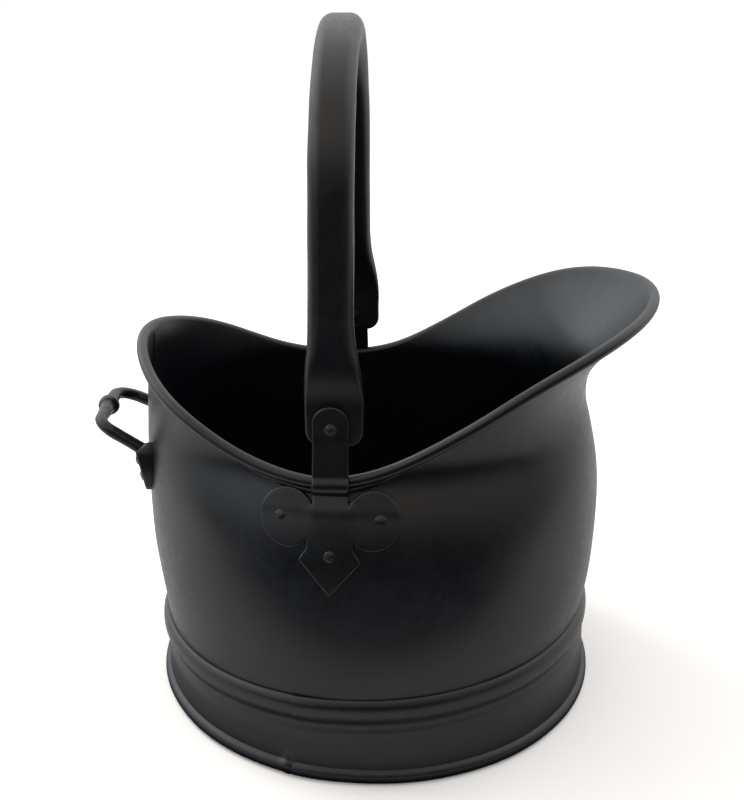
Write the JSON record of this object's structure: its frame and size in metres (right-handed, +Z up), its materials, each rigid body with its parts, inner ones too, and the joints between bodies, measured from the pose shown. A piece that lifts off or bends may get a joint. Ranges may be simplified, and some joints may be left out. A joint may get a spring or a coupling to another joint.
{
  "type": "coal bucket",
  "caption": "Helmet-shaped black steel fireside bucket with a saddle mouth and spout, wired foot band, riveted straps, a swinging oval bail and a small tipping handle at the back",
  "frame": {"origin": "centre of the foot ring, on the surface it stands on", "axes": "+Z up, +X toward the spout, +Y toward the left side as seen from behind the bucket"},
  "size_m": [0.3687, 0.3, 0.44],
  "materials": {
    "body_black": "satin black enamel",
    "band_black": "satin black enamel",
    "strap_black": "matt black enamel",
    "bail_black": "satin black enamel",
    "rivet_black": "matt black enamel",
    "wire_steel": "plain drawn wire"
  },
  "bodies": {
    "bucket": {"body_shell": "body_black", "bottom_plate": "body_black", "foot_band": "band_black", "left_strap": "strap_black", "right_strap": "strap_black", "rear_handle": "strap_black", "rim_wire": "wire_steel", "foot_wire": "wire_steel", "left_back_rivet": "rivet_black", "left_front_rivet": "rivet_black", "left_leaf_rivet": "rivet_black", "right_back_rivet": "rivet_black", "right_front_rivet": "rivet_black", "right_leaf_rivet": "rivet_black", "left_pivot_rivet": "rivet_black", "right_pivot_rivet": "rivet_black", "handle_left_lower_rivet": "rivet_black", "handle_left_upper_rivet": "rivet_black", "handle_right_lower_rivet": "rivet_black", "handle_right_upper_rivet": "rivet_black"},
    "bail": {"bail_handle": "bail_black"}
  },
  "joints": [
    {"name": "bail_swing", "type": "hinge", "parent": "bucket", "child": "bail", "pos_m": [-0.022, 0, 0.22], "axis": [0, 1, 0], "range_deg": [-85, 68]}
  ]
}
